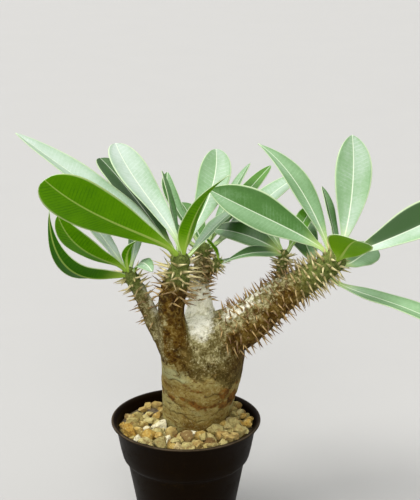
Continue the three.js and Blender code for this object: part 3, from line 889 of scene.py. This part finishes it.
def makeSpines():
    chance = random.Random(spines["seed"])
    spread = math.tan(math.radians(spines["spread"]))
    short, longer, longerYoung = spines["lengths"]
    thin, thicker, thickerYoung = spines["widths"]
    stands = []
    for name, point, out, along, youth in seats:
        sideways = along.cross(out).normalized()
        for hand in (-1, 1):
            if chance.random() < spines["missing"] * (1 - youth):
                continue
            lean = spines["lean"] * (chance.random() - 0.35)
            aside = sideways * hand * spread * (0.7 + 0.6 * chance.random())
            way = (out + aside + along * lean).normalized()
            root = point + sideways * hand * spines["pairGap"] * 0.5 + out * 0.3 - way * spines["sunk"]
            reach = short + longer * chance.random() + longerYoung * youth
            length = crowns[name]["spine"] * reach + spines["sunk"]
            droop = Vector([chance.uniform(-1, 1) for _ in range(3)]) * spines["sag"]
            radius = spines["root"] * (thin + thicker * chance.random() + thickerYoung * youth)
            stands.append((root, way, droop, length, radius, youth, chance.random()))
    bm, marks, corners = repeated(spineForm(), len(stands), ("youth", "tip", "shade"))
    for i, (root, way, droop, length, radius, youth, shade) in enumerate(stands):
        side = way.orthogonal().normalized()
        other = way.cross(side)
        for k, corner in enumerate(corners):
            vert = bm.verts[i * len(corners) + k]
            place = root + (side * corner.x + other * corner.y) * radius + way * corner.z * length
            vert.co = (place + droop * corner.z ** 2) * mm
            for mark, value in zip(marks, (youth, corner.z, shade)):
                vert[mark] = value
    print("spines", len(stands))
    return belongs(makeObject("spines", bm, [spineFinish()]), "caudex")


makeSpines()
print("spines ready")


# Leaves

blade = {
    "fullThickness": 2.6,
    "stalkThickness": 1.7,
    "stalkHalfWidth": 1.8,
    "fullStalkWidth": 22,
    "tipHalfWidth": 0.5,
    "stemTaper": 0.1,
    "shoulder": 1.5,
    "point": 0.72,
    "rootStretch": 0.15,
    "bowPlace": 0.6,
    "bowReach": 1.9,
    "clearance": 0.3,
    "sunk": 1.4,
    "rows": 44,  # half as many on a leaf under the short length
    "shortLength": 40,
    "columns": 18,
    "rowCrowding": 1.25,
    "columnCrowding": 1.35,
    "edge": 0.42,
    "rib": 1.0,
    "ribWidth": 1.3,
    "ribTaper": 0.75,
    "waves": 0.55,
    "seed": 5,
}


def leaf(heading, rise, length, width, fold, paintedLight, **more):
    usual = dict(roll=0, arch=0, bend=0, below=0, glow=0.0, shoulder=blade["shoulder"], point=blade["point"])
    given = dict(heading=heading, rise=rise, length=length, width=width, fold=fold, paintedLight=paintedLight)
    return {**usual, **given, **more}


# By crown: heading, rise, length, width, the fold of its V, the painted light on its left and right half
# (high paints sheen that makes a half pale, low paints shade that keeps it dark), then what else a leaf has.
# roll turns the blade about its midrib, arch and bend bow it up and sideways, and seat or lift place its
# root. The backlight value paints the green of light from behind into a blade, and below zero paints shade.
leaves = {
    "front": [
        leaf(-136.4, 34.5, 125, 34, 12, (0.6, 0.6), roll=54, arch=-5, lift=0.35, shoulder=1.9, point=0.55),
        leaf(159.2, 32.9, 137, 31, 14, (0.78, 0.86), lift=0.25, point=0.9),
        leaf(129.7, 43.6, 92, 27, 14, (0.9, 0.86), arch=-1, bend=-3, lift=0.75, shoulder=1.8, point=0.55),
        leaf(125.5, 26.7, 107, 24, 16, (-0.05, 0.05), arch=3, lift=0.05, point=0.5),
        leaf(-49, 54.4, 77, 17, 18, (0.6, 0.7), roll=12, arch=5, bend=5, lift=0.4, shoulder=1.1, point=1.1),
        leaf(61.1, 53.2, 76.5, 23, 12, (0.62, 0.76), roll=5, arch=-2, bend=6.5, lift=0.1,
             shoulder=1.9, point=0.55),
        leaf(51, 20, 61, 15, 16, (0.7, 0.6), roll=-15, arch=3, seat=(30, 25)),
        leaf(105, 44, 65, 13, 18, (0.3, 0.4), roll=55, arch=2, seat=(95, 30)),
    ],
    "left": [
        leaf(-130.6, 40.4, 88, 19, 20, (0.7, 0.6), roll=30, arch=-22.5, seat=(-140, 4),
             glow=-0.4, shoulder=1, point=1.3),
        leaf(-135.5, 42, 74, 20, 14, (0.6, 0.6), roll=32, arch=-9, lift=0.4),
        leaf(125.5, 27, 70, 13, 16, (0.9, 0.95), lift=0.2),
        leaf(-61, 60, 28, 8, 14, (0.6, 0.6), arch=3, bend=4, seat=(-95, 55)),
        leaf(82, 32.5, 46.5, 11, 18, (0.75, 0.8), arch=2, seat=(70, 50)),
        leaf(-49, 16.5, 22, 11, 8, (0.62, 0.74), roll=25, arch=6, seat=(-30, 40)),
    ],
    "rear": [
        leaf(53.5, 42.5, 71, 16, 14, (0.62, 0.5), roll=-30, arch=2, seat=(35, 52)),
        leaf(33.5, 26.5, 92, 23, 12, (0.74, 0.8), arch=4, seat=(10, 22)),
        leaf(118, 38, 66, 12, 18, (0.3, 0.5), roll=10, arch=2, bend=-8, seat=(125, 38)),
        leaf(107, 19, 55, 18, 16, (0.2, 0.25), glow=0.3, arch=3, seat=(92, 2)),
        leaf(151, 21, 55, 17, 16, (0.2, 0.25), glow=0.3, arch=4, seat=(178, 25)),
        leaf(52.5, 29, 88, 13, 18, (0.15, 0.2), glow=0.5, roll=10, arch=2, seat=(60, 28)),
    ],
    "rearTwig": [
        leaf(-142, 59, 21, 8, 16, (0.25, 0.3), arch=1, lift=0.5),
        leaf(-66, 16.5, 16, 7, 16, (0.35, 0.35), arch=1, lift=0.4),
    ],
    "rightTwig": [
        leaf(-142, 4, 51, 15, 14, (0.4, 0.08), roll=-16, arch=4, lift=0.2, shoulder=1, point=1.6),
        leaf(153, 10, 54.5, 19, 14, (0.42, 0.1), roll=-32, arch=4, seat=(169, 32), point=1),
        leaf(124, 29.5, 56, 15, 18, (0.45, 0.6), arch=3, seat=(118, 34)),
        leaf(44.5, 41, 41.5, 15, 16, (0.22, 0.25), glow=0.9, arch=3, seat=(20, 40)),
    ],
    "right": [
        leaf(178.5, 30.4, 90, 33, 14, (0.56, 0.31), roll=-38, seat=(170, 48), shoulder=1.9, point=0.85),
        leaf(132, 42.7, 94, 22, 14, (0.64, 0.58), arch=7, bend=3, seat=(120, 48), shoulder=2, point=1.1),
        leaf(72.3, 58.3, 83, 26, 12, (0.69, 0.76), roll=5, bend=3.5, seat=(40, 52), shoulder=1.9),
        leaf(10, 23, 92, 32, 20, (-0.08, 0.8), roll=30, arch=-3, seat=(0, 25), shoulder=1.9),
        leaf(-44, -14.8, 90, 23, 12, (0.6, 0.56), arch=4, seat=(-43, -40), below=8),
        leaf(-81, 29.4, 56, 30, 6, (0.6, 0.6), glow=0.2, roll=-20, arch=3, seat=(-72, 30)),
        leaf(48.5, -3, 43, 20, 10, (0.5, 0.6), roll=34, arch=2, seat=(24, -24)),
        leaf(118.5, 16.5, 51, 23, 14, (0.25, 0.5), roll=-8, arch=3, seat=(110, 20), below=12),
        leaf(99, 48.5, 49, 13, 18, (0.3, 0.45), roll=40, arch=3, seat=(76, 20)),
    ],
}

# By side: tones from dark to pale, then the midrib and its width, the edge and stalk, how much paler
# the side veins are, whether painted light is laid on, the tone it starts from, and how the surface shines.
leafLooks = {
    "leafTop": {
        # on the top, the pale end of these tones is painted sheen and the dark end painted shade
        "tones": [
            (0.0, (0.016, 0.058, 0.005)), (0.33, (0.058, 0.15, 0.03)), (0.66, (0.2, 0.335, 0.17)),
            (1.0, (0.45, 0.53, 0.465)),
        ],
        "rib": (0.66, 0.73, 0.56), "ribWidth": 1.0, "margin": (0.52, 0.64, 0.38), "stalk": (0.4, 0.53, 0.15),
        "veinShare": 0.07, "paintedLight": True, "middle": 0.0, "gloss": 0.3, "rough": 0.4,
    },
    "leafBack": {
        # the back's bright yellow-green is partly its own colour and partly painted light shining through
        # the blade
        "tones": [
            (0.0, (0.025, 0.11, 0.003)), (0.35, (0.07, 0.22, 0.0)), (0.5, (0.105, 0.29, 0.0)),
            (1.0, (0.27, 0.5, 0.015)),
        ],
        "rib": (0.42, 0.56, 0.12), "ribWidth": 1.9, "margin": (0.58, 0.72, 0.28), "stalk": (0.32, 0.5, 0.06),
        "veinShare": -0.2, "paintedLight": False, "middle": 0.45, "gloss": 0.05, "rough": 0.55,
    },
}


def leafFinish(name):
    look = leafLooks[name]
    skin = Finish(name, IOR=1.45, Specular_IOR_Level=look["gloss"])
    # spans are in tens of millimetres, shares go from the stalk to the tip and from edge to edge
    across, along, _ = skin.split(skin.add("UVMap", {"uv_map": "span"}))
    u, v, _ = skin.split(skin.add("UVMap", {"uv_map": "share"}))
    offRib = skin.maths("ABSOLUTE", across)
    outward = skin.maths("ABSOLUTE", u * 2.0 - 1.0)
    cloud = skin.grain(20, detail=5.0, rough=0.6)
    mottle = skin.grain(1.8, rough=0.65)
    wander = 0.16 * (skin.grain(7, detail=3.0) - 0.5)
    wave = skin.maths("SINE", (along - offRib * 0.35 + wander) * 27.0)
    strength = skin.step(skin.grain(12, detail=3.0, shift=(0.03, 0.01, 0.05)), 0.4, 0.65, 0.25, 1.0)
    lines = skin.step(wave, 0.5, 1.0) * skin.step(outward, 1.0, 0.7) * strength
    tone = look["middle"] + 0.3 * (cloud - 0.5) + 0.22 * (mottle - 0.5) + look["veinShare"] * lines
    tone = tone + skin.step(v, 0.5, 0.1, 0.0, 0.2)
    glow = skin.mark("glow")
    if look["paintedLight"]:
        # painted light: each half of a blade is painted paler as painted sheen or darker as painted shade,
        # as the halves would catch the sky differently
        left, right = skin.mark("leftSheen"), skin.mark("rightSheen")
        paintedLight = left + (right - left) * skin.step(across, -0.03, 0.03)
        tone = tone + paintedLight + 0.12 * (v - 0.5) - skin.step(outward, 0.5, 1.0, 0.0, 0.1)
        # painted backlight: some blades are painted with the underside's green, as if lit from behind
        lit = skin.tint(0.35 + 0.4 * (cloud - 0.5), leafLooks["leafBack"]["tones"])
        colour = skin.blend(glow, skin.tint(tone, look["tones"]), lit)
    else:
        # on the back, the painted backlight makes a blade brighter, and below zero darker as painted shade
        tone = tone + glow
        colour = skin.tint(tone, look["tones"])
    ribEdge = look["ribWidth"] * (0.042 - 0.036 * v)
    # the midrib is painted whiter where the painted light is pale, and duller where it paints shade
    rib = skin.step(offRib, ribEdge + 0.028, ribEdge) * skin.step(tone, 0.15, 0.75, 0.5, 0.85)
    colour = skin.dabs(skin.blend(rib, colour, look["rib"]), [
        (v, 0.3, 0.04, 0.95, look["stalk"]),
        (outward, 0.935, 0.975, 0.75, look["margin"]),
        (skin.grain(5, detail=6.0, rough=0.75), 0.7, 0.76, 0.25, (0.3, 0.32, 0.1)),
    ])
    rough = look["rough"] + 0.12 * (mottle - 0.5) + 0.12 * (cloud - 0.5)
    bump = skin.relief(wave * strength * skin.step(outward, 1.0, 0.8), 0.05, 0.25)
    bump = skin.relief(mottle, 0.08, 0.4, bump)
    return skin.finish(colour, rough, bump)


def bladeLine(crown, row):
    centre, radius = Vector(crowns[crown]["centre"]), crowns[crown]["radius"]
    axis = (Vector(stems[crown][-1][:3]) - Vector(stems[crown][-2][:3])).normalized()
    aim = direction(row["heading"], row["rise"])
    out = direction(*row["seat"]) if "seat" in row else aim.lerp(axis, row["lift"]).normalized()
    reach = radius + blade["clearance"] + blade["stemTaper"] * row["below"]
    root = centre - axis * row["below"] + out * reach
    tip = centre + aim * (radius + row["length"])
    side = aim.cross(Vector((0, 0, 1))).normalized()
    up = side.cross(aim)
    early = root + out * blade["rootStretch"] * row["length"]
    late = root.lerp(tip, blade["bowPlace"]) + up * blade["bowReach"] * row["arch"]
    late = late + side * blade["bowReach"] * row["bend"]
    return root - out * blade["sunk"], early, late, tip


def bezier(line, t):
    a, b, c, d = line
    s = 1 - t
    place = a * s ** 3 + b * 3 * s * s * t + c * 3 * s * t * t + d * t ** 3
    way = (b - a) * s * s + (c - b) * 2 * s * t + (d - c) * t * t
    return place, way.normalized()


def bladeSide(along, roll):
    return Matrix.Rotation(roll, 3, along) @ along.cross(Vector((0, 0, 1))).normalized()


def bladeHalfWidth(row, t):
    width, shoulder, point = row["width"], row["shoulder"], row["point"]
    widest = shoulder / (shoulder + point)
    peak = widest ** shoulder * (1 - widest) ** point
    outline = t ** shoulder * max(0.0, 1 - t) ** point / peak
    stalk = blade["stalkHalfWidth"] * min(1.0, width / blade["fullStalkWidth"])
    floor = stalk + (blade["tipHalfWidth"] * 0.4 - stalk) * t
    return math.hypot(floor, 0.5 * width * outline) if outline < 0.2 else max(floor, 0.5 * width * outline)


def makeLeaf(crown, number, row, chance):
    line = bladeLine(crown, row)
    bm = bmesh.new()
    bm.loops.layers.uv.new("share")
    steps = blade["rows"] if row["length"] > blade["shortLength"] else blade["rows"] // 2
    bmesh.ops.create_grid(bm, x_segments=blade["columns"], y_segments=steps, size=1.0, calc_uvs=True)
    spanLayer = bm.loops.layers.uv.new("span")
    thickLayer = bm.verts.layers.deform.verify()
    fold, roll = math.radians(row["fold"]), math.radians(row["roll"])
    phase = chance.random() * 6.3
    beats = 1.6 + 1.6 * chance.random()
    cup = chance.uniform(-0.05, 0.04)
    spans = {}
    for vert in bm.verts:
        u = math.copysign(abs(vert.co.x) ** blade["columnCrowding"], vert.co.x)
        t = 1 - (0.5 - 0.5 * vert.co.y) ** blade["rowCrowding"]
        place, along = bezier(line, t)
        side = bladeSide(along, roll)
        half = bladeHalfWidth(row, t)
        spread = u * half
        valley = math.sqrt(spread ** 2 + 0.5) - math.sqrt(0.5)
        height = valley * math.sin(fold) + cup * half * u ** 4
        beat = 2 * math.pi * beats * t + phase + (1.4 if u > 0 else 0)
        ripple = blade["waves"] * min(1.0, half / 9) * math.sin(beat)
        height += ripple * u * u * math.sin(math.pi * min(1.0, t * 1.1))
        spans[vert] = (spread / 10, t * row["length"] / 10)
        vert.co = (place + side * spread * math.cos(fold) + side.cross(along) * height) * mm
        # thick along the midrib and at the stalk, thin at the edges
        rib = ridge(spread, blade["ribWidth"])
        thick = blade["edge"] + (0.75 * (1 - t) ** 2 + blade["rib"] * (1 - blade["ribTaper"] * t)) * rib
        thick += blade["stalkThickness"] * 0.5 * max(0.0, 1 - 5 * t) * (1 - 0.5 * abs(u))
        vert[thickLayer][0] = min(1.0, thick / blade["fullThickness"])
    for face in bm.faces:
        for loop in face.loops:
            loop[spanLayer].uv = spans[loop.vert]
    bmesh.ops.recalc_face_normals(bm, faces=bm.faces)
    # the grid becomes the upper side, so it looks up
    spot, along = bezier(line, 0.6)
    middle = min(bm.faces, key=lambda face: (face.calc_center_median() - spot * mm).length)
    if middle.normal.dot(bladeSide(along, roll).cross(along)) < 0:
        bmesh.ops.reverse_faces(bm, faces=bm.faces)
    piece = makeObject(f"leaf_{crown}{number}", bm, [leafTop, leafBack])
    piece.vertex_groups.new(name="thickness")
    body = piece.modifiers.new("body", "SOLIDIFY")
    body.thickness = blade["fullThickness"] * mm
    body.offset = -0.6
    body.vertex_group = "thickness"
    body.material_offset = 1
    body.use_even_offset = False
    bake(piece)
    marks = {"glow": row["glow"], "leftSheen": row["paintedLight"][0], "rightSheen": row["paintedLight"][1]}
    for name, value in marks.items():
        writeMark(piece, name, [value] * len(piece.data.vertices))
    return belongs(piece, "leaf", f"leaf_{crown}_{number}")


leafTop = leafFinish("leafTop")
leafBack = leafFinish("leafBack")
leafChance = random.Random(blade["seed"])
for crownName, tuft in leaves.items():
    for i, row in enumerate(tuft):
        makeLeaf(crownName, i + 1, row, leafChance)
print("leaves ready")


# Top dressing

dressing = {
    "bedLow": 62.3,
    "bedTop": 80.4,
    "bedGap": 0.35,
    "bedSteps": 64,
    "wallGap": 0.3,
    "stoneGap": 0.25,
    # heights, and the radius of the pot's inside there
    "wallHeights": [60.7, 63.0, 68.4, 85.4, 88.0],
    "wallRadii": [43.0, 43.9, 45.1, 48.2, 49.6],
    # middle and radius of the trunk's foot
    "foot": (6.2, 8.3, 23.6),
    "layers": [
        # height of the stones' middles, least and greatest radius, closest spacing
        (79.0, 2.9, 5.0, 6.2),
        (81.8, 2.7, 5.4, 7.0),
        (84.0, 2.5, 5.8, 8.4),
    ],
    "unevenness": 0.7,
    "frontRise": 1.0,
    "rightRise": 3.6,
    "backDrop": 2.8,
    "frontGrowth": 0.35,
    "tries": 4200,
    "chips": 11,
    "chipDepths": (0.5, 0.82),
    "squash": [(1.05, 1.45), (0.9, 1.15), (0.75, 1.05)],
    "seed": 34,
    "sharpFrom": 24,  # degrees
    # the grit under the stones: its own dark colour, and painted shade in the gaps between the stones
    "grit": ((0.03, 0.02, 0.01), (0.13, 0.095, 0.045)),
    "mix": ((0.03, 0.02, 0.012), (0.13, 0.09, 0.05)),
    "kinds": [
        (0.0, (0.38, 0.33, 0.13)), (0.15, (0.3, 0.235, 0.07)), (0.3, (0.27, 0.15, 0.024)),
        (0.42, (0.43, 0.27, 0.05)), (0.55, (0.22, 0.175, 0.055)), (0.66, (0.46, 0.4, 0.17)),
        (0.78, (0.27, 0.225, 0.075)), (0.87, (0.12, 0.05, 0.012)), (0.95, (0.34, 0.23, 0.06)),
        (0.985, (0.72, 0.69, 0.5)),
    ],
}


def stoneFinish():
    stone = Finish("stones", IOR=1.45, Specular_IOR_Level=0.2)
    patch = stone.grain(3.4, detail=5.0, rough=0.65)
    fine = stone.grain(0.7, rough=0.7)
    pores = stone.step(stone.cells(1.3), 0.26, 0.1) * stone.step(fine, 0.4, 0.6)
    colour = stone.dabs(stone.tint(stone.mark("kind"), dressing["kinds"]), [
        (patch, 0.52, 0.66, 0.6, (0.58, 0.48, 0.2)),
        (patch, 0.48, 0.36, 0.8, (0.14, 0.062, 0.01)),
    ])
    colour = stone.blend(pores * 0.8, colour, (0.05, 0.035, 0.018))
    colour = stone.blend(stone.mark("pale") * 0.22, colour, (0.6, 0.5, 0.22))
    bump = stone.relief(patch, 1.6, 0.9)
    bump = stone.relief(1.0 - pores, 0.35, 0.8, bump)
    bump = stone.relief(fine, 0.15, 0.7, bump)
    return stone.finish(colour, stone.step(fine, 0.3, 0.7, 0.78, 0.95), bump)


def gritFinish(name, colours):
    grit = Finish(name)
    lump = grit.grain(2.2, detail=6.0, rough=0.7)
    colour = grit.blend(grit.step(lump, 0.35, 0.65), *colours)
    return grit.finish(colour, 0.92 + 0.05 * lump, grit.relief(lump, 1.2, 0.8))


def stoneShape(corners, place, size, chance):
    # a ball's corners pressed into a chipped stone
    flats = [Vector([chance.gauss(0, 1) for _ in range(3)]).normalized() for _ in range(dressing["chips"])]
    cuts = [chance.uniform(*dressing["chipDepths"]) for _ in flats]
    lean = Vector([chance.random() * 50 for _ in range(3)])
    squash = Vector([chance.uniform(*span) for span in dressing["squash"]])
    turn = Matrix.Rotation(chance.uniform(0, 6.3), 3, "Z")
    turn = turn @ Matrix.Rotation(chance.uniform(-0.6, 0.6), 3, "X")
    shaped = []
    for corner in corners:
        spot = corner * (1.0 + 0.3 * swell(corner, 1.6, lean) + 0.12 * swell(corner, 4.0, lean))
        for flat, limit in zip(flats, cuts):
            over = spot.dot(flat) - limit
            if over > 0:
                spot -= flat * over
        shaped.append(turn @ (spot * squash) * size + place)
    return shaped


def wallInside(z):
    return float(np.interp(z, dressing["wallHeights"], dressing["wallRadii"]))


def layStones(chance):
    # scatters the stones layer by layer: each one's place and radius
    footX, footY, footRadius = dressing["foot"]
    laid = []
    for height, small, large, spacing in dressing["layers"]:
        level = []
        for _ in range(dressing["tries"]):
            size = small + (large - small) * chance.random() ** 1.2
            reach = wallInside(height) - dressing["wallGap"] - 0.9 * size
            radius = reach * math.sqrt(chance.random())
            angle = chance.uniform(0, 2 * math.pi)
            x, y = radius * math.cos(angle), radius * math.sin(angle)
            size *= 1.0 + dressing["frontGrowth"] * fade(y, 0, -26)
            if math.hypot(x - footX, y - footY) < footRadius + 0.5 * size:
                continue
            if any(math.hypot(x - a, y - b) < spacing * (size + c) / (small + large) for a, b, c in level):
                continue
            level.append((x, y, size))
            lift = dressing["frontRise"] * fade(y, 5, -25) - dressing["backDrop"] * fade(y - 0.6 * x, 12, 44)
            lift += dressing["rightRise"] * fade(x, 20, 36) * fade(y, 42, 20)
            lift += chance.uniform(-dressing["unevenness"], dressing["unevenness"])
            laid.append((Vector((x, y, height + lift)), size))
    return laid


def makeDressing():
    chance = random.Random(dressing["seed"])
    laid = layStones(chance)
    ball = bmesh.new()
    bmesh.ops.create_icosphere(ball, subdivisions=2, radius=1.0)
    bm, marks, corners = repeated(ball, len(laid), ("kind", "pale"))
    for i, (place, size) in enumerate(laid):
        looks = (chance.random(), chance.random())
        for k, spot in enumerate(stoneShape(corners, place, size, chance)):
            vert = bm.verts[i * len(corners) + k]
            for mark, value in zip(marks, looks):
                vert[mark] = value
            out = math.hypot(spot.x, spot.y)
            most = wallInside(spot.z) - dressing["stoneGap"]
            if out > most:
                spot.x *= most / out
                spot.y *= most / out
            vert.co = spot * mm
    bmesh.ops.recalc_face_normals(bm, faces=bm.faces)
    print("stones", len(laid))
    stones = makeObject("topStones", bm, [stoneFinish()])
    stones.data.set_sharp_from_angle(angle=math.radians(dressing["sharpFrom"]))
    belongs(stones, "gravel", "gravel")

    # the bed of grit under the stones, dark as painted shade between them
    low, top = dressing["bedLow"], dressing["bedTop"]
    lowRadius, topRadius = [wallInside(z) - dressing["bedGap"] for z in (low, top)]
    bm = turned([(0.0, low), (lowRadius, low), (topRadius, top), (0.0, top)], dressing["bedSteps"])
    belongs(makeObject("gritBedAndShade", bm, [gritFinish("grit", dressing["grit"])], smooth=False), "gravel")


makeDressing()
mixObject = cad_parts["potting_mix"]
mixObject.data.materials.clear()
mixObject.data.materials.append(gritFinish("pottingMix", dressing["mix"]))
print("top dressing ready")
